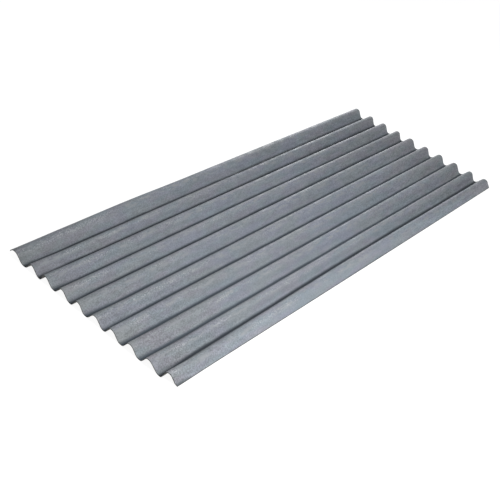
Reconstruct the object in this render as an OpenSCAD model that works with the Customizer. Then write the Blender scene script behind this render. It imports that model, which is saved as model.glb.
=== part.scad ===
// Corrugated bitumen sheet: one moulded board, lying on its valleys.
// X runs along the waves, Y across them and Z up. The origin is the middle of
// the plan, on the level that the undersides of the valleys rest on.

/* [Sheet] */
// Length of the sheet, along the waves
sheet_length = 2000; // [500:50:3000]
// Thickness of the board
sheet_thickness = 2.6; // [2:0.1:4]

/* [Waves] */
// Number of crests
crest_count = 10; // [4:1:13]
// Distance from one crest to the next
wave_pitch = 79; // [76:1:95]
// Height from the underside of a valley to the top of a crest
wave_height = 31.4; // [30:0.2:38]
// Slope of the straight flanks between the rounds, in degrees
flank_angle = 52; // [48:1:56]

/* [Side edges] */
// How far the board runs past its first crest, to the edge that ends low on the flank
low_edge_reach = 30; // [10:1:38]
// How far the board runs past its last crest, to the edge that ends half way down
high_edge_reach = 19; // [10:1:38]

/* [Hidden] */

bitumen_grey = [0.5, 0.52, 0.55];

half_pitch = wave_pitch / 2;
half_thickness = sheet_thickness / 2;
sheet_width = (crest_count - 1) * wave_pitch + low_edge_reach + high_edge_reach;
first_crest_y = low_edge_reach - sheet_width / 2;

// The middle of the board: its depth from crest to valley, and the radius at
// which the rounds run smoothly into flanks that slope at flank_angle.
mid_depth = wave_height - sheet_thickness;
mid_radius = (half_pitch * tan(flank_angle) - mid_depth) / (1 / cos(flank_angle) - 1) / 2;

// A round turns from level to flank_angle in equal steps. Its facets touch the
// true arc at their middles, so the board keeps its thickness and height.
steps_to_flank = 8;
step_angle = flank_angle / steps_to_flank;

// Valleys and crests are numbered together across the board, from the valley
// before the first crest: even rounds are valleys and odd rounds are crests.
last_round = 2 * crest_count;

// The waves are drawn past the side edges and trimmed square. The trim clears
// them by this much above and below.
trim_margin = 5;

// 1 on a crest and -1 in a valley.
function bulge(round_number) = round_number % 2 == 0 ? -1 : 1;

// A corner of the surface that lies `side` above the middle of the board.
function round_corner(round_number, corner, side) =
    let (
        up = bulge(round_number),
        turn = step_angle * (corner + 0.5 - steps_to_flank),
        corner_radius = (mid_radius + up * side) / cos(step_angle / 2),
        centre_y = first_crest_y + (round_number - 1) * half_pitch,
        centre_z = wave_height / 2 + up * (mid_depth / 2 - mid_radius)
    )
    [centre_y + corner_radius * sin(turn), centre_z + up * corner_radius * cos(turn)];

// A whole surface. The straight flanks join each round to the next.
function wave_surface(side) = [
    for (round_number = [0:last_round], corner = [0:2 * steps_to_flank - 1])
        round_corner(round_number, corner, side)
];

function reversed(points) = [for (i = [len(points) - 1:-1:0]) points[i]];

// Section across the board, before its side edges are trimmed.
module wave_section() {
    polygon(concat(wave_surface(-half_thickness), reversed(wave_surface(half_thickness))));
}

module corrugated_sheet() {
    color(bitumen_grey)
        translate([-sheet_length / 2, 0, 0])
            rotate([90, 0, 90])
                linear_extrude(height = sheet_length)
                    intersection() {
                        wave_section();
                        translate([-sheet_width / 2, -trim_margin])
                            square([sheet_width, wave_height + 2 * trim_margin]);
                    }
}

corrugated_sheet();
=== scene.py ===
import math
from typing import NamedTuple

import bpy
import numpy as np
from mathutils import Matrix, Vector


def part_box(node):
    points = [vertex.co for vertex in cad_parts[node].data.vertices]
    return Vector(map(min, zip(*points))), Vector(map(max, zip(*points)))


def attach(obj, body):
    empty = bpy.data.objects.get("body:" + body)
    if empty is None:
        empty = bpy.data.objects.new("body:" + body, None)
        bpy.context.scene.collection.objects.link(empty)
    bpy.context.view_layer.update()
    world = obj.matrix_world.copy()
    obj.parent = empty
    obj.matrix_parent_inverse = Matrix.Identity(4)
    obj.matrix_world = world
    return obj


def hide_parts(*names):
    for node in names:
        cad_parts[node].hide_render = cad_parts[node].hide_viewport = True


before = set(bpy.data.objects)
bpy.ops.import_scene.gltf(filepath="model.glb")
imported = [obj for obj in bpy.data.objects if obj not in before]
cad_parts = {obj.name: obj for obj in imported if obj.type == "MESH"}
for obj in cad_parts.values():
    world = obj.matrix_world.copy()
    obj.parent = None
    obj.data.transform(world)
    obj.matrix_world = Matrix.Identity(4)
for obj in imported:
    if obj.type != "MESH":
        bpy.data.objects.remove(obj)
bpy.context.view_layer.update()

MM = 0.001

# ---------------------------------------------------------------- the sheet's sizes, in metres
NODE = "corrugated_sheet"
LOW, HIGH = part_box(NODE)
LENGTH = HIGH.x - LOW.x
WIDTH = HIGH.y - LOW.y
HEIGHT = HIGH.z - LOW.z
MIDDLE = (LOW + HIGH) / 2

PITCH = 79 * MM                    # from one crest to the next
THICKNESS = 2.6 * MM               # of the board
FLANK_ANGLE = math.radians(52)     # slope of the straight flanks between the rounds
LOW_EDGE_REACH = 30 * MM           # from the first crest to the side edge nearest the camera
CRESTS = 10
HALF_PITCH = PITCH / 2
FIRST_CREST_Y = LOW.y + LOW_EDGE_REACH
LAST_CREST_Y = FIRST_CREST_Y + (CRESTS - 1) * PITCH

# The wave of the board's middle surface: its full height, and the radius with which its rounds run smoothly
# into the flanks.
MID_DEPTH = HEIGHT - THICKNESS
MID_RADIUS = (HALF_PITCH * math.tan(FLANK_ANGLE) - MID_DEPTH) / (1 / math.cos(FLANK_ANGLE) - 1) / 2


# ---------------------------------------------------------------- the wave
def wave_height(y, side):
    """Height of the surface that lies `side` above the middle of the board."""
    from_crest = np.abs((y - FIRST_CREST_Y + HALF_PITCH) % PITCH - HALF_PITCH)
    from_valley = HALF_PITCH - from_crest
    crest_radius = MID_RADIUS + side
    valley_radius = MID_RADIUS - side
    crest_centre = HEIGHT / 2 + MID_DEPTH / 2 - MID_RADIUS
    valley_centre = HEIGHT - crest_centre
    crest_arc = crest_radius * math.sin(FLANK_ANGLE)
    valley_arc = valley_radius * math.sin(FLANK_ANGLE)
    on_crest = crest_centre + np.sqrt(np.maximum(crest_radius**2 - from_crest**2, 0))
    on_valley = valley_centre - np.sqrt(np.maximum(valley_radius**2 - from_valley**2, 0))
    flank_top = crest_centre + crest_radius * math.cos(FLANK_ANGLE)
    on_flank = flank_top - (from_crest - crest_arc) * math.tan(FLANK_ANGLE)
    z = np.where(from_crest < crest_arc, on_crest, on_flank)
    return LOW.z + np.where(from_valley < valley_arc, on_valley, z)


STEPS_PER_ROUND = 8
STEPS_PER_FLANK = 3
EDGE_STEPS = np.array((0.0, 0.12, 0.35, 0.8, 2.2)) * MM   # close stations beside a cut edge
EDGE_CLEARANCE = 1.5 * EDGE_STEPS[-1]                     # the other stations stay this far inside
ROWS = 222


def section_stations(side):
    """Places across the board: evenly turned steps on the rounds, even steps on the flanks."""
    turns = np.linspace(-FLANK_ANGLE, FLANK_ANGLE, STEPS_PER_ROUND + 1)
    rounds = []
    # Even numbers are crests and odd ones valleys. The outermost rounds lie past the side edges.
    for number in range(-1, 2 * CRESTS + 1):
        centre = FIRST_CREST_Y + number * HALF_PITCH
        radius = MID_RADIUS + (side if number % 2 == 0 else -side)
        rounds.append(centre + radius * np.sin(turns))
    stations = [rounds[0]]
    for before, after in zip(rounds[:-1], rounds[1:]):
        stations.append(np.linspace(before[-1], after[0], STEPS_PER_FLANK + 1)[1:-1])
        stations.append(after)
    return np.concatenate(stations)


def both_sides_stations():
    """The same number of places on the top and on the underside, both ending at the side edges."""
    top = section_stations(THICKNESS / 2)
    under = section_stations(-THICKNESS / 2)
    past_low_edge = np.minimum(top, under) > LOW.y + EDGE_CLEARANCE
    before_high_edge = np.maximum(top, under) < HIGH.y - EDGE_CLEARANCE
    inside = past_low_edge & before_high_edge
    near = LOW.y + EDGE_STEPS
    far = HIGH.y - EDGE_STEPS[::-1]
    return np.concatenate([near, top[inside], far]), np.concatenate([near, under[inside], far])


# ---------------------------------------------------------------- helpers
WOBBLE_SINES = 3                   # of each wavelength
WOBBLE_TURN = 0.6                  # most that one is turned away from the sheet's length, in radians
WOBBLE_PEAK = 1.8                  # how high the sines of one wavelength usually peak together


def smooth_step(t):
    t = np.clip(t, 0, 1)
    return t * t * (3 - 2 * t)


def wobble(along, across, wavelengths, seed):
    """A smooth uneven field between about -1 and 1."""
    rng = np.random.default_rng(seed)
    total = np.zeros(np.broadcast(along, across).shape)
    for wavelength in wavelengths:
        for _ in range(WOBBLE_SINES):
            heading = rng.uniform(-WOBBLE_TURN, WOBBLE_TURN)
            phase = rng.uniform(0, 2 * math.pi)
            run = along * math.cos(heading) + across * math.sin(heading)
            total = total + np.sin(2 * math.pi * run / wavelength + phase)
    return total / (WOBBLE_PEAK * len(wavelengths))


def near_left_end(x, reach):
    """1 at the left end, falling smoothly to 0 at this reach from it."""
    return smooth_step(1 - (x - LOW.x) / reach)


# ---------------------------------------------------------------- how the sheet departs from the even wave
RIPPLE = 0.45 * MM                 # of the flanks, along the sheet
RIPPLE_WAVELENGTHS = (0.13, 0.21, 0.34)
RIPPLE_SEED = 11
CREST_SAG = 0.5 * MM               # most that a crest lies under its full height
SAG_WAVELENGTHS = (0.4, 0.9)
SAG_SEED = 12
EDGE_ROUND = 0.8 * MM              # worn round of the cut edges
EDGE_FLAT = 0.2 * MM               # half of what is left of the thickness on the very edge
CORNER_ROUND = 1.5 * MM            # of the sheet's four corners, in plan
CUT_ROUGHNESS = 0.35 * MM          # of the sawn ends
CUT_WAVELENGTHS = (0.004, 0.009, 0.035)
LEFT_CUT_SEED = 3
RIGHT_CUT_SEED = 4
CORNER_SKEW = 12 * MM              # cut off the near left corner by a slanting cut
CORNER_SKEW_WIDTH = 60 * MM        # how far across the sheet that cut runs
RIGHT_CUT_BOW = 4 * MM             # most that the right end is cut in
RIGHT_BOW_PLACE = 0.18             # where it is cut in most, as a share of the width from the low edge
RIGHT_CUT_LEAN = 8 * MM            # how far the feet of the waves lie in from their crests at the right end

# How far each wave has crept sideways, from the low edge to the high edge, in millimetres.
CREEP_LEFT = (1, -2, 1, 4, -1, 2, -4, -4, -16, 3)
CREEP_MIDDLE = (6, -3, -3, -1, -1, 2, -2, -1, -9, 3)
CREEP_RIGHT = (0, -6, -2, -2, -3, 2, -3, -1, -6, -1)
CREEP_CENTRE = 0.25                # where on a wave its own creep holds, as a share of a wave past its crest

# The last wave is also pushed sideways at two places: share of the length, reach and push.
LAST_WAVE_PUSHES = (
    (0.0, 200 * MM, -3 * MM),
    (0.25, 350 * MM, 4 * MM),
)

# Beside the left end the board has also slumped: all but the outer crests sink, and each crest and each
# valley slips sideways, here in turn from the low edge to the high edge, in millimetres.
SLIP_LEFT = (8, -7, 8, 2, 6, 0, 5, -4, 5, 4, 3, -5, 5, -1, 7, -7, 6, -2, 1)
SLUMP_LENGTH = 150 * MM
SLUMP_DEPTH = 2 * MM


def slip(x, y):
    """Sideways shift of the crests and valleys beside the left end, in metres."""
    half_waves = (y - FIRST_CREST_Y) / HALF_PITCH
    whole = np.floor(half_waves)
    eased = whole + smooth_step(half_waves - whole)
    slips = np.interp(eased, np.arange(len(SLIP_LEFT)), SLIP_LEFT) * MM
    return slips * near_left_end(x, SLUMP_LENGTH)


def creep(x, y):
    """Sideways shift of the waves at a place, in metres: each crest and the valley beyond it shift alike."""
    past_centre = (y - FIRST_CREST_Y) / PITCH - CREEP_CENTRE
    whole = np.clip(np.floor(past_centre), 0, CRESTS - 2)
    eased = np.clip(whole + smooth_step(past_centre - whole), 0, CRESTS - 1)
    waves = np.arange(CRESTS)
    left, middle, right = (np.interp(eased, waves, c) * MM for c in (CREEP_LEFT, CREEP_MIDDLE, CREEP_RIGHT))
    from_middle = 2 * (x - LOW.x) / LENGTH - 1
    left_half = left + (middle - left) * smooth_step(from_middle + 1)
    right_half = middle + (right - middle) * smooth_step(from_middle)
    shift = np.where(from_middle < 0, left_half, right_half)
    on_last_wave = smooth_step(1 - np.abs(eased - (CRESTS - 1)))
    for place, reach, push in LAST_WAVE_PUSHES:
        from_place = np.abs(x - LOW.x - place * LENGTH) / reach
        shift = shift + push * smooth_step(1 - from_place) * on_last_wave
    return shift + slip(x, y)


def beside_edges(y):
    """How much a place belongs to each side edge, low and high: 1 on it, 0 from its outer crest inwards."""
    low_share = np.clip((FIRST_CREST_Y - y) / (FIRST_CREST_Y - LOW.y), 0, 1)
    high_share = np.clip((y - LAST_CREST_Y) / (HIGH.y - LAST_CREST_Y), 0, 1)
    return low_share, high_share


def cut_in(y, seed):
    """How far an end is cut in at each place across, in metres."""
    rough = CUT_ROUGHNESS * (1 + wobble(y, np.zeros_like(y), CUT_WAVELENGTHS, seed)) / 2
    from_side = np.minimum(y - LOW.y, HIGH.y - y)
    inside_corner = np.clip(CORNER_ROUND - from_side, 0, CORNER_ROUND)
    corner = CORNER_ROUND - np.sqrt(CORNER_ROUND**2 - inside_corner**2)
    return np.maximum(rough, 0) + corner


def left_cut(y):
    skew = CORNER_SKEW * smooth_step((LOW.y + CORNER_SKEW_WIDTH - y) / CORNER_SKEW_WIDTH)
    return cut_in(y, LEFT_CUT_SEED) + skew


def right_cut(y):
    share = (y - LOW.y) / WIDTH
    bow = smooth_step(share / RIGHT_BOW_PLACE) * smooth_step((1 - share) / (1 - RIGHT_BOW_PLACE))
    return cut_in(y, RIGHT_CUT_SEED) + RIGHT_CUT_BOW * bow


def cut_ends(y, side):
    """Where the board starts and stops at each place across, on the top or the underside."""
    foot = 1 - (wave_height(y, side) - LOW.z) / HEIGHT
    lean = RIGHT_CUT_LEAN * foot * smooth_step((y - LOW.y) / PITCH)
    return LOW.x + left_cut(y), HIGH.x - right_cut(y) - lean


def worn_edge(distance):
    """How much thinner the board is, on each side, this far from a cut edge."""
    inside = np.clip(EDGE_ROUND - distance, 0, EDGE_ROUND)
    return EDGE_ROUND - np.sqrt(EDGE_ROUND**2 - inside**2)


def row_shares():
    """Places of the rows, as shares of the length: even steps, and close ones beside the cut ends."""
    inner = np.linspace(EDGE_STEPS[-1], LENGTH - EDGE_STEPS[-1], ROWS - 2 * len(EDGE_STEPS) + 2)
    from_left = np.concatenate([EDGE_STEPS[:-1], inner, LENGTH - EDGE_STEPS[:-1][::-1]])
    return from_left / LENGTH


def before_creep(x, y):
    """Where each place lay on the even wave. The side edges stay put, so beside them the wave is drawn from
    as far out as it has crept in."""
    low_share, high_share = beside_edges(y)
    shift_low = creep(x, np.full_like(x, LOW.y))
    shift_high = creep(x, np.full_like(x, HIGH.y))
    return y - low_share * shift_low - high_share * shift_high


def raised(x, y, z):
    """How far each place lies above the even wave: ripple of the flanks, less the crests' sag and slump."""
    height_share = np.clip((z - LOW.z) / HEIGHT, 0, 1)
    flank = 4 * height_share * (1 - height_share)
    ripple = flank * RIPPLE * wobble(x, y, RIPPLE_WAVELENGTHS, RIPPLE_SEED)
    sag = CREST_SAG * (1 + wobble(x, y, SAG_WAVELENGTHS, SAG_SEED)) / 2
    from_outer_crest = np.minimum(y - FIRST_CREST_Y, LAST_CREST_Y - y) / PITCH
    slump = SLUMP_DEPTH * smooth_step(from_outer_crest) * near_left_end(x, SLUMP_LENGTH)
    return ripple - height_share * (sag + slump)


def board_surface(y, side):
    """Points of the top or the underside, a row for each place along the sheet, and how many waves past the
    first crest each point lies."""
    left, right = cut_ends(y, side)
    x = left + (right - left) * row_shares()[:, None]
    even_y = before_creep(x, y)
    moved_y = even_y + creep(x, even_y)

    from_end = np.minimum(x - left, right - x)
    from_side = np.minimum(y - LOW.y, HIGH.y - y)
    thinning = worn_edge(from_end) + worn_edge(from_side)
    half = np.sign(side) * np.maximum(abs(side) - thinning, EDGE_FLAT)
    z = wave_height(even_y, half)
    z = z + raised(x, y, z)
    points = np.stack([x, np.clip(moved_y, LOW.y, HIGH.y), np.clip(z, LOW.z, HIGH.z)], -1)
    return points, (even_y - FIRST_CREST_Y) / PITCH


# ---------------------------------------------------------------- painted shade in the valleys
# How far the painted valley shade reaches up from the foot of each far flank, at both ends, in hundredths of
# a wave, and how deep it lies, from 0 to 1.
VALLEY_SHADE_REACH_LEFT = (20, 16, 15, 16, 14, 17, 14, 18, 8, 12)
VALLEY_SHADE_REACH_RIGHT = (20, 10, 12, 13, 11, 20, 15, 24, 18, 14)
VALLEY_SHADE_DEPTH = (0.8, 0.3, 0.35, 0.45, 0.35, 0.6, 0.5, 0.85, 0.7, 0.7)
# It spreads further beside the left end, and most of all on the lip of the last wave.
VALLEY_SHADE_SPREAD = 9
VALLEY_SHADE_SPREAD_LIP = 26
VALLEY_SHADE_SPREAD_LENGTH = 140 * MM


def valley_shade_extent(x, phase):
    """Reach and depth of the painted valley shade on the wave that each place belongs to."""
    wave = np.clip(np.floor(phase), 0, CRESTS - 1).astype(int)
    left = np.take(VALLEY_SHADE_REACH_LEFT, wave)
    right = np.take(VALLEY_SHADE_REACH_RIGHT, wave)
    spread = np.where(wave == CRESTS - 1, VALLEY_SHADE_SPREAD_LIP, VALLEY_SHADE_SPREAD)
    reach = left + (right - left) * (x - LOW.x) / LENGTH + spread * near_left_end(x, VALLEY_SHADE_SPREAD_LENGTH)
    return reach / 100, np.take(VALLEY_SHADE_DEPTH, wave)


# ---------------------------------------------------------------- the board
SHARP_ANGLE = math.radians(50)     # edges that turn more are shaded as sharp
COATED, BARE, CUT = range(3)       # the finishes, in the order in which the board takes them


def strip_faces(rows, row_length):
    """Quads between neighbouring rows of a closed loop of points."""
    start = np.arange(rows - 1)[:, None] * row_length
    place = np.arange(row_length)[None]
    after = (place + 1) % row_length
    next_start = start + row_length
    return np.stack([start + place, next_start + place, next_start + after, start + after], -1)


def face_finishes(rows, row_length, count):
    """The finish of each face: coated on top, bare underneath, and cut on the ends, the sides and their worn
    round. The first `count` places of a row are the top's."""
    finish = np.full((rows - 1, row_length), COATED)
    finish[:, count:] = BARE
    rim = np.count_nonzero(EDGE_STEPS < EDGE_ROUND)
    finish[:rim] = CUT
    finish[-rim:] = CUT
    finish[:, :rim] = CUT
    finish[:, -1 - rim:] = CUT
    finish[:, count - 1 - rim:count + rim] = CUT
    both_ends = np.full(2 * (count - 1), CUT)
    return np.concatenate([finish.ravel(), both_ends]).astype(np.int32)


def put_attribute(mesh, name, values):
    """Keeps a number at each point of the mesh, for the materials."""
    attribute = mesh.attributes.new(name, "FLOAT", "POINT")
    attribute.data.foreach_set("value", values.ravel().astype(np.float32))


def make_board():
    """One closed board: top, underside, side edges and cut ends, with the place across kept in attributes."""
    top_y, under_y = both_sides_stations()
    top, top_phase = board_surface(top_y, THICKNESS / 2)
    under, under_phase = board_surface(under_y, -THICKNESS / 2)
    count = len(top_y)
    loops = np.concatenate([top, under[:, ::-1]], axis=1)
    rows, row_length = loops.shape[:2]

    sides = strip_faces(rows, row_length)
    place = np.arange(count - 1)
    first_end = np.stack([place, place + 1, row_length - 2 - place, row_length - 1 - place], 1)
    last_end = (first_end + (rows - 1) * row_length)[:, ::-1]
    faces = np.concatenate([sides.reshape(-1, 4), first_end, last_end])

    mesh = bpy.data.meshes.new("board")
    mesh.from_pydata(loops.reshape(-1, 3).tolist(), [], faces.tolist())
    mesh.validate()
    mesh.polygons.foreach_set("material_index", face_finishes(rows, row_length, count))

    phase = np.concatenate([top_phase, under_phase[:, ::-1]], axis=1)
    reach, depth = valley_shade_extent(loops[..., 0], phase)
    put_attribute(mesh, "wave_phase", phase)
    put_attribute(mesh, "valley_shade_reach", reach)
    put_attribute(mesh, "valley_shade_depth", depth)

    board = bpy.data.objects.new("board", mesh)
    bpy.context.scene.collection.objects.link(board)
    mesh.shade_smooth()
    mesh.set_sharp_from_angle(angle=SHARP_ANGLE)
    return board


# ---------------------------------------------------------------- materials
BLOB_SHARE = 0.5                   # of a noise's period that one blob takes up


class Pattern(NamedTuple):
    """A noise: the width of its blobs and its detail, then the part that is used and what it becomes."""
    size: float
    detail: float
    roughness: float
    low: float = 0.0
    high: float = 1.0
    to_low: float = 0.0
    to_high: float = 1.0


class Band(NamedTuple):
    """A stretch with soft edges: its centre, its reach to each side and the inner part at full strength."""
    centre: float
    half_width: float
    core: float


class Graph:
    """A material's node tree, with short calls for the nodes that the finishes share."""

    def __init__(self, name):
        self.material = bpy.data.materials.new(name)
        self.material.use_nodes = True
        self.tree = self.material.node_tree
        self.shader = self.tree.nodes["Principled BSDF"]
        self.place = self.node("ShaderNodeTexCoord").outputs["Object"]

    def node(self, kind):
        return self.tree.nodes.new(kind)

    def feed(self, socket, value):
        """Puts a number or a colour on a socket, or links a node's output to it."""
        if isinstance(value, bpy.types.NodeSocket):
            self.tree.links.new(value, socket)
        else:
            socket.default_value = value

    def math(self, operation, first, second=0.0):
        node = self.node("ShaderNodeMath")
        node.operation = operation
        self.feed(node.inputs[0], first)
        self.feed(node.inputs[1], second)
        return node.outputs[0]

    def remap(self, value, low, high, to_low=0.0, to_high=1.0):
        node = self.node("ShaderNodeMapRange")
        node.interpolation_type = "SMOOTHSTEP"
        self.feed(node.inputs["Value"], value)
        self.feed(node.inputs["From Min"], low)
        self.feed(node.inputs["From Max"], high)
        self.feed(node.inputs["To Min"], to_low)
        self.feed(node.inputs["To Max"], to_high)
        return node.outputs["Result"]

    def stretched(self, scale):
        """The place on the board with each axis scaled, for patterns longer one way than the other."""
        node = self.node("ShaderNodeMapping")
        self.feed(node.inputs["Vector"], self.place)
        node.inputs["Scale"].default_value = scale
        return node.outputs["Vector"]

    def noise(self, pattern, place=None):
        node = self.node("ShaderNodeTexNoise")
        self.feed(node.inputs["Vector"], place or self.place)
        node.inputs["Scale"].default_value = BLOB_SHARE / pattern.size
        node.inputs["Detail"].default_value = pattern.detail
        node.inputs["Roughness"].default_value = pattern.roughness
        return node.outputs["Fac"]

    def spread(self, pattern, place=None):
        """The pattern's noise, with the part of it that is used spread over the numbers that it becomes."""
        noise = self.noise(pattern, place)
        return self.remap(noise, pattern.low, pattern.high, pattern.to_low, pattern.to_high)

    def cells(self, spacing):
        """Distance from the nearest of scattered points about `spacing` metres apart, 0 to about 1."""
        node = self.node("ShaderNodeTexVoronoi")
        self.feed(node.inputs["Vector"], self.place)
        node.inputs["Scale"].default_value = 1 / spacing
        return node.outputs["Distance"]

    def attribute(self, name):
        node = self.node("ShaderNodeAttribute")
        node.attribute_name = name
        return node.outputs["Fac"]

    def rightward(self):
        """How far along the sheet a place is, 0 at the left end and 1 at the right end."""
        split = self.node("ShaderNodeSeparateXYZ")
        self.feed(split.inputs["Vector"], self.place)
        return self.math("DIVIDE", self.math("SUBTRACT", split.outputs["X"], LOW.x), LENGTH)

    def band(self, value, centre, half_width, core):
        """1 within `core` of a centre, falling smoothly to 0 at `half_width`."""
        distance = self.math("ABSOLUTE", self.math("SUBTRACT", value, centre))
        return self.remap(distance, half_width, core)

    def mix(self, share, first, second, blend="MIX"):
        node = self.node("ShaderNodeMix")
        node.data_type = "RGBA"
        node.blend_type = blend
        node.clamp_factor = True
        self.feed(node.inputs["Factor"], share)
        self.feed(node.inputs["A"], first)
        self.feed(node.inputs["B"], second)
        return node.outputs["Result"]

    def brighten(self, colour, factor):
        """The colour times a number that may vary over the surface."""
        grey = self.node("ShaderNodeCombineColor")
        for channel in ("Red", "Green", "Blue"):
            self.feed(grey.inputs[channel], factor)
        return self.mix(1.0, colour, grey.outputs["Color"], "MULTIPLY")

    def bump(self, height, distance, strength, normal=None):
        node = self.node("ShaderNodeBump")
        node.inputs["Strength"].default_value = strength
        node.inputs["Distance"].default_value = distance
        self.feed(node.inputs["Height"], height)
        if normal:
            self.feed(node.inputs["Normal"], normal)
        return node.outputs["Normal"]


def rgb(red, green, blue):
    return (red, green, blue, 1.0)


WHITE = rgb(1, 1, 1)

# The coat's colours, linear as all colours here.
COAT_WARM = rgb(0.2118, 0.219, 0.235)
COAT_COOL = rgb(0.1895, 0.216, 0.252)
COAT_GREEN = rgb(0.190, 0.2245, 0.236)
COAT_VIOLET = rgb(0.2115, 0.2095, 0.250)
FINE_TINT_SHARE = 0.45             # of green and violet in the coat's colour
TINT_ENDS = rgb(1.030, 1.002, 0.955)
TINT_MIDDLE = rgb(0.977, 1.007, 1.054)
TINT_POWER = 0.25                  # the lower, the sooner the ends' tint gives way to the middle's
WORN_PALE = rgb(0.232, 0.246, 0.262)
SPECK = rgb(0.39, 0.41, 0.43)
# Painted shade at the foot of the far flanks, from its palest to its deepest.
VALLEY_SHADE_PALE = rgb(0.076, 0.097, 0.120)
VALLEY_SHADE_DEEP = rgb(0.018, 0.023, 0.030)

# What makes the coat uneven. The last three patterns are factors of brightness.
STRETCH_ALONG = (0.30, 1.0, 1.0)   # draws a pattern out along the waves
CLOUDS = Pattern(30 * MM, detail=3.0, roughness=0.55, low=0.36, high=0.64)
TINTS = Pattern(16 * MM, detail=2.0, roughness=0.5, low=0.40, high=0.60)
DRIFTS = Pattern(70 * MM, detail=2.0, roughness=0.5, low=0.30, high=0.70, to_low=0.955, to_high=1.045)
STREAKS = Pattern(6.5 * MM, detail=3.0, roughness=0.6, low=0.30, high=0.70, to_low=0.91, to_high=1.09)
GRAIN = Pattern(2.4 * MM, detail=2.0, roughness=0.6, low=0.28, high=0.72, to_low=0.80, to_high=1.20)

# Where the unevenness is weaker or stronger, as shares of the length from the left end, and by how much.
CALM_BAND = Band(centre=0.42, half_width=0.34, core=0.12)
CALM = 0.45
LEFT_GRIT_SHARE = 0.28             # fading from the left end
LEFT_GRIT = 0.40
RIGHT_GRIT_SHARES = (0.55, 0.85)   # rising between these
RIGHT_GRIT = 0.30

# How much darker the coat gets at the far left corner and at the left end, and how far in the latter fades.
FAR_LEFT_DIMMING = 0.13
LEFT_END_DIMMING = 0.035
LEFT_END_SHARE = 0.06


def coat_unevenness(graph, rightward):
    """How strongly the shade varies: least half way along the near waves, most at their left end."""
    nearness = graph.math("SUBTRACT", 1.0, graph.math("DIVIDE", graph.attribute("wave_phase"), CRESTS))
    calm = graph.math("MULTIPLY", graph.band(rightward, *CALM_BAND), nearness)
    gritty = graph.math("MULTIPLY", graph.remap(rightward, LEFT_GRIT_SHARE, 0.0), nearness)
    right_part = graph.remap(rightward, *RIGHT_GRIT_SHARES, 0.0, RIGHT_GRIT)
    strength = graph.math("SUBTRACT", graph.math("ADD", right_part, 1.0), graph.math("MULTIPLY", calm, CALM))
    return graph.math("ADD", strength, graph.math("MULTIPLY", gritty, LEFT_GRIT))


def uneven_coat(graph, rightward, along_waves):
    """Cloudy tints of the coat, drawn out along the waves, with a fine grain."""
    fine_tints = graph.mix(graph.spread(TINTS, along_waves), COAT_GREEN, COAT_VIOLET)
    colour = graph.mix(graph.spread(CLOUDS, along_waves), COAT_WARM, COAT_COOL)
    colour = graph.mix(FINE_TINT_SHARE, colour, fine_tints)

    shade = graph.math("MULTIPLY", graph.spread(DRIFTS, along_waves), graph.spread(STREAKS, along_waves))
    shade = graph.math("MULTIPLY", shade, graph.spread(GRAIN))
    contrast = graph.math("MULTIPLY", graph.math("SUBTRACT", shade, 1.0), coat_unevenness(graph, rightward))
    return graph.brighten(colour, graph.math("ADD", contrast, 1.0))


def coat_colour(graph, along_waves):
    """Blue-grey mineral coat, greyer towards the cut ends and darker towards the far left corner."""
    rightward = graph.rightward()
    colour = uneven_coat(graph, rightward, along_waves)
    from_ends = graph.math("POWER", graph.math("PINGPONG", rightward, 0.5), TINT_POWER)
    tint = graph.mix(from_ends, TINT_ENDS, TINT_MIDDLE)
    colour = graph.mix(1.0, colour, tint, "MULTIPLY")

    leftward = graph.math("SUBTRACT", 1.0, rightward)
    far_left = graph.math("MULTIPLY", leftward, graph.attribute("wave_phase"))
    dimmed = graph.math("SUBTRACT", 1.0, graph.math("MULTIPLY", far_left, FAR_LEFT_DIMMING / (CRESTS - 1)))
    left_end = graph.remap(rightward, LEFT_END_SHARE, 0.0, 0.0, LEFT_END_DIMMING)
    return graph.brighten(colour, graph.math("SUBTRACT", dimmed, left_end))


# Where the coat is rubbed, as shares of a wave from its crest towards the high edge, and by which patterns.
WORN_BAND = Band(centre=0.89, half_width=0.16, core=0.03)
RUBBED = Pattern(7 * MM, detail=4.0, roughness=0.65, low=0.46, high=0.64)
SPECK_PATCHES = Pattern(22 * MM, detail=3.0, roughness=0.6, low=0.46, high=0.59)
SPECK_SPACING = 4.6 * MM
SPECK_RANGE = (0.40, 0.22)         # from a speck's rim to its full colour, as shares of the spacing
SPECK_STRETCH = (0.8, 0.0)         # shares of the length between which the specks grow stronger
SPECK_STRENGTH = (0.2, 1.0)        # at the ends of that stretch


def worn_crests(graph, colour, phase, along_waves):
    """Pale rubbed streaks high on the flanks that face the low edge, with bare mineral grains in patches."""
    high_flank = graph.band(phase, *WORN_BAND)
    rubbed = graph.spread(RUBBED, along_waves)
    colour = graph.mix(graph.math("MULTIPLY", rubbed, high_flank), colour, WORN_PALE)

    patches = graph.spread(SPECK_PATCHES, along_waves)
    strength = graph.remap(graph.rightward(), *SPECK_STRETCH, *SPECK_STRENGTH)
    specks = graph.remap(graph.cells(SPECK_SPACING), *SPECK_RANGE)
    where = graph.math("MULTIPLY", graph.math("MULTIPLY", patches, strength), high_flank)
    return graph.mix(graph.math("MULTIPLY", specks, where), colour, SPECK)


# Painted highlight and painted shade on the far flanks, and the painted shade in their valleys, again as
# shares of a wave from its crest.
SHOULDER_HIGHLIGHT_BAND = Band(centre=0.19, half_width=0.11, core=0.02)
SHOULDER_HIGHLIGHT_STRETCH = (0.1, 0.9)      # shares of the length between which the painted highlight on the shoulder grows stronger
SHOULDER_HIGHLIGHT = (0.06, 0.32)     # how much paler the painted highlight makes it at the ends of that stretch
# Painted shade low down on the far flanks.
FLANK_SHADE_BAND = Band(centre=0.39, half_width=0.14, core=0.02)
FLANK_SHADE = 0.25
VALLEY_SHADE_PHASE = 0.42
VALLEY_SHADE_DRIFT = 0.035                # how much further on the painted shade lies on the last wave than on the first
VALLEY_SHADE_CORE = 0.02
RAGGEDNESS = Pattern(20 * MM, detail=3.0, roughness=0.6, low=0.3, high=0.7, to_low=-0.016, to_high=0.016)


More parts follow.
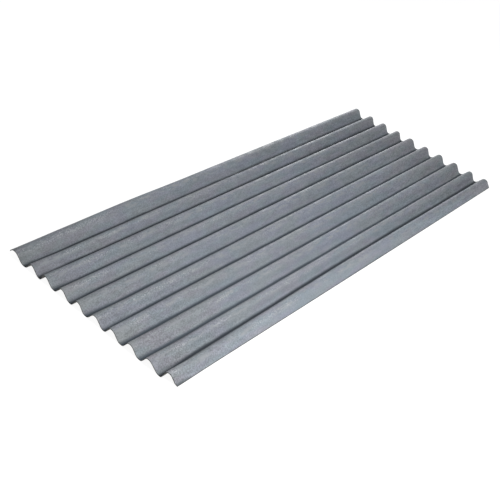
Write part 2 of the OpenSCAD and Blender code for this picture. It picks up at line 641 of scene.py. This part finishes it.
def far_flank_highlight_and_shade(graph, colour, phase):
    """Painted shade low down on the flanks that face the high edge, and a painted highlight above on the
    right-hand part.
    """
    highlight_strength = graph.remap(graph.rightward(), *SHOULDER_HIGHLIGHT_STRETCH, *SHOULDER_HIGHLIGHT)
    highlight = graph.math("MULTIPLY", graph.band(phase, *SHOULDER_HIGHLIGHT_BAND), highlight_strength)
    flank_shade = graph.math("MULTIPLY", graph.band(phase, *FLANK_SHADE_BAND), FLANK_SHADE)
    return graph.brighten(colour, graph.math("SUBTRACT", graph.math("ADD", highlight, 1.0), flank_shade))


def paint_valley_shade(graph, colour, phase, along_waves):
    """Painted shade with ragged rims at the foot of each far flank."""
    raggedness = graph.spread(RAGGEDNESS, along_waves)
    drift = graph.math("MULTIPLY", graph.attribute("wave_phase"), VALLEY_SHADE_DRIFT / (CRESTS - 1))
    place = graph.math("SUBTRACT", graph.math("ADD", phase, raggedness), drift)
    valley_shade_mask = graph.band(place, VALLEY_SHADE_PHASE, graph.attribute("valley_shade_reach"), VALLEY_SHADE_CORE)
    return graph.mix(valley_shade_mask, colour, graph.mix(graph.attribute("valley_shade_depth"), VALLEY_SHADE_PALE, VALLEY_SHADE_DEEP))


COAT_ROUGHNESS = Pattern(20 * MM, detail=3.0, roughness=0.5, low=0.3, high=0.7, to_low=0.58, to_high=0.74)
LUMPS = Pattern(11 * MM, detail=3.0, roughness=0.55)
LUMP_HEIGHT = 0.8 * MM
LUMP_STRENGTH = 0.5
GRIT = Pattern(2.4 * MM, detail=2.0, roughness=0.6)
GRIT_HEIGHT = 0.35 * MM
GRIT_STRENGTH = 0.7


def coated_top():
    """The weather side."""
    graph = Graph("coated_top")
    along_waves = graph.stretched(STRETCH_ALONG)
    phase = graph.math("FLOORED_MODULO", graph.attribute("wave_phase"), 1.0)
    colour = coat_colour(graph, along_waves)
    colour = worn_crests(graph, colour, phase, along_waves)
    colour = far_flank_highlight_and_shade(graph, colour, phase)
    colour = paint_valley_shade(graph, colour, phase, along_waves)
    graph.feed(graph.shader.inputs["Base Color"], colour)
    graph.feed(graph.shader.inputs["Roughness"], graph.spread(COAT_ROUGHNESS))

    lumps = graph.bump(graph.noise(LUMPS), LUMP_HEIGHT, LUMP_STRENGTH)
    grit = graph.bump(graph.noise(GRIT), GRIT_HEIGHT, GRIT_STRENGTH, lumps)
    graph.feed(graph.shader.inputs["Normal"], grit)
    return graph.material


FIBRE_HEIGHT = 0.4 * MM
FIBRE_RANGE = (0.3, 0.7)           # the part of the fibres' noise that sets the roughness
BARE_FIBRES = Pattern(4 * MM, detail=4.0, roughness=0.7)
BARE_DARK = rgb(0.040, 0.038, 0.036)
BARE_PALE = rgb(0.070, 0.066, 0.060)
BARE_PALE_RANGE = (0.4, 0.7)
BARE_ROUGHNESS = (0.7, 0.9)
BARE_BUMP = 0.6


def bare_underside():
    """Uncoated bitumen board: nearly black, with fibres drawn out along the waves."""
    graph = Graph("bare_underside")
    fibres = graph.noise(BARE_FIBRES, graph.stretched(STRETCH_ALONG))
    colour = graph.mix(graph.remap(fibres, *BARE_PALE_RANGE), BARE_DARK, BARE_PALE)
    graph.feed(graph.shader.inputs["Base Color"], colour)
    graph.feed(graph.shader.inputs["Roughness"], graph.remap(fibres, *FIBRE_RANGE, *BARE_ROUGHNESS))
    graph.feed(graph.shader.inputs["Normal"], graph.bump(fibres, FIBRE_HEIGHT, BARE_BUMP))
    return graph.material


CUT_FIBRES = Pattern(1.5 * MM, detail=4.0, roughness=0.7)
CUT_DARK = rgb(0.030, 0.033, 0.030)
CUT_PALE = rgb(0.085, 0.090, 0.084)
CUT_PALE_RANGE = (0.40, 0.72)
CUT_EDGE_ROUGHNESS = (0.8, 0.95)
CUT_BUMP = 0.8


def cut_edge():
    """Sawn edge of the board: fine dark fibres."""
    graph = Graph("cut_edge")
    fibres = graph.noise(CUT_FIBRES)
    colour = graph.mix(graph.remap(fibres, *CUT_PALE_RANGE), CUT_DARK, CUT_PALE)
    graph.feed(graph.shader.inputs["Base Color"], colour)
    graph.feed(graph.shader.inputs["Roughness"], graph.remap(fibres, *FIBRE_RANGE, *CUT_EDGE_ROUGHNESS))
    graph.feed(graph.shader.inputs["Normal"], graph.bump(fibres, FIBRE_HEIGHT, CUT_BUMP))
    return graph.material


board = make_board()
for make_finish in (coated_top, bare_underside, cut_edge):
    board.data.materials.append(make_finish())
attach(board, "root")
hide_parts(NODE)


# ---------------------------------------------------------------- floor, camera and light
FLOOR_REACH = 60                   # metres from its middle to each side, so that its rim is near the horizon
FLOOR_GREY = rgb(0.18, 0.18, 0.18)
FLOOR_ROUGHNESS = 0.9
FLOOR_GLOW = 0.92                  # the floor shines by itself, so that shadows on it stay faint


def make_floor():
    mesh = bpy.data.meshes.new("floor")
    signs = [(-1, -1), (1, -1), (1, 1), (-1, 1)]
    corners = [(x * FLOOR_REACH, y * FLOOR_REACH, LOW.z) for x, y in signs]
    mesh.from_pydata(corners, [], [(0, 1, 2, 3)])
    floor = bpy.data.objects.new("floor", mesh)
    bpy.context.scene.collection.objects.link(floor)
    graph = Graph("floor")
    graph.feed(graph.shader.inputs["Base Color"], FLOOR_GREY)
    graph.feed(graph.shader.inputs["Roughness"], FLOOR_ROUGHNESS)
    graph.feed(graph.shader.inputs["Emission Color"], WHITE)
    graph.feed(graph.shader.inputs["Emission Strength"], FLOOR_GLOW)
    mesh.materials.append(graph.material)


make_floor()

# The camera's place as seen from its target, and its turn about its own axis.
CAMERA_AZIMUTH = math.radians(-57.806)
CAMERA_ELEVATION = math.radians(34.993)
CAMERA_ROLL = math.radians(14.471)
CAMERA_DISTANCE = 3.230
CAMERA_LENS = 65.32                # millimetres, as is the width of the sensor
SENSOR_WIDTH = 36
TARGET = MIDDLE + Vector((-0.30485, -0.07396, 0))   # left of the middle and nearer the low edge


def direction(azimuth, elevation):
    """Unit vector towards a place seen at this azimuth and elevation; azimuth 0 is on the low edge's side."""
    level = math.cos(elevation)
    return Vector((math.sin(azimuth) * level, -math.cos(azimuth) * level, math.sin(elevation)))


def make_camera():
    back = direction(CAMERA_AZIMUTH, CAMERA_ELEVATION)
    level_right = (-back).cross(Vector((0, 0, 1))).normalized()
    level_up = level_right.cross(-back)
    right = math.cos(CAMERA_ROLL) * level_right + math.sin(CAMERA_ROLL) * level_up
    up = -math.sin(CAMERA_ROLL) * level_right + math.cos(CAMERA_ROLL) * level_up
    data = bpy.data.cameras.new("camera")
    data.lens = CAMERA_LENS
    data.sensor_width = SENSOR_WIDTH
    camera = bpy.data.objects.new("camera", data)
    bpy.context.scene.collection.objects.link(camera)
    turn = Matrix((right, up, back)).transposed().to_4x4()
    camera.matrix_world = Matrix.Translation(TARGET + back * CAMERA_DISTANCE) @ turn
    bpy.context.scene.camera = camera


make_camera()


def make_lamp(name, azimuth, elevation, distance, size, watts):
    """A round soft lamp that faces the middle of the sheet."""
    data = bpy.data.lights.new(name, "AREA")
    data.shape = "DISK"
    data.size = size
    data.energy = watts
    lamp = bpy.data.objects.new(name, data)
    towards = direction(math.radians(azimuth), math.radians(elevation))
    lamp.location = MIDDLE + towards * distance
    lamp.rotation_euler = towards.to_track_quat("Z", "Y").to_euler()
    bpy.context.scene.collection.objects.link(lamp)


make_lamp("key_lamp", azimuth=-30, elevation=44, distance=2.0, size=0.6, watts=34)
make_lamp("back_lamp", azimuth=130, elevation=15, distance=2.5, size=0.7, watts=26.7)

AMBIENT = 0.365                    # strength of the even light from all round


def make_world():
    world = bpy.data.worlds.new("studio")
    world.use_nodes = True
    background = world.node_tree.nodes["Background"]
    background.inputs["Color"].default_value = WHITE
    background.inputs["Strength"].default_value = AMBIENT
    bpy.context.scene.world = world


make_world()
bpy.context.scene.view_settings.view_transform = "Standard"
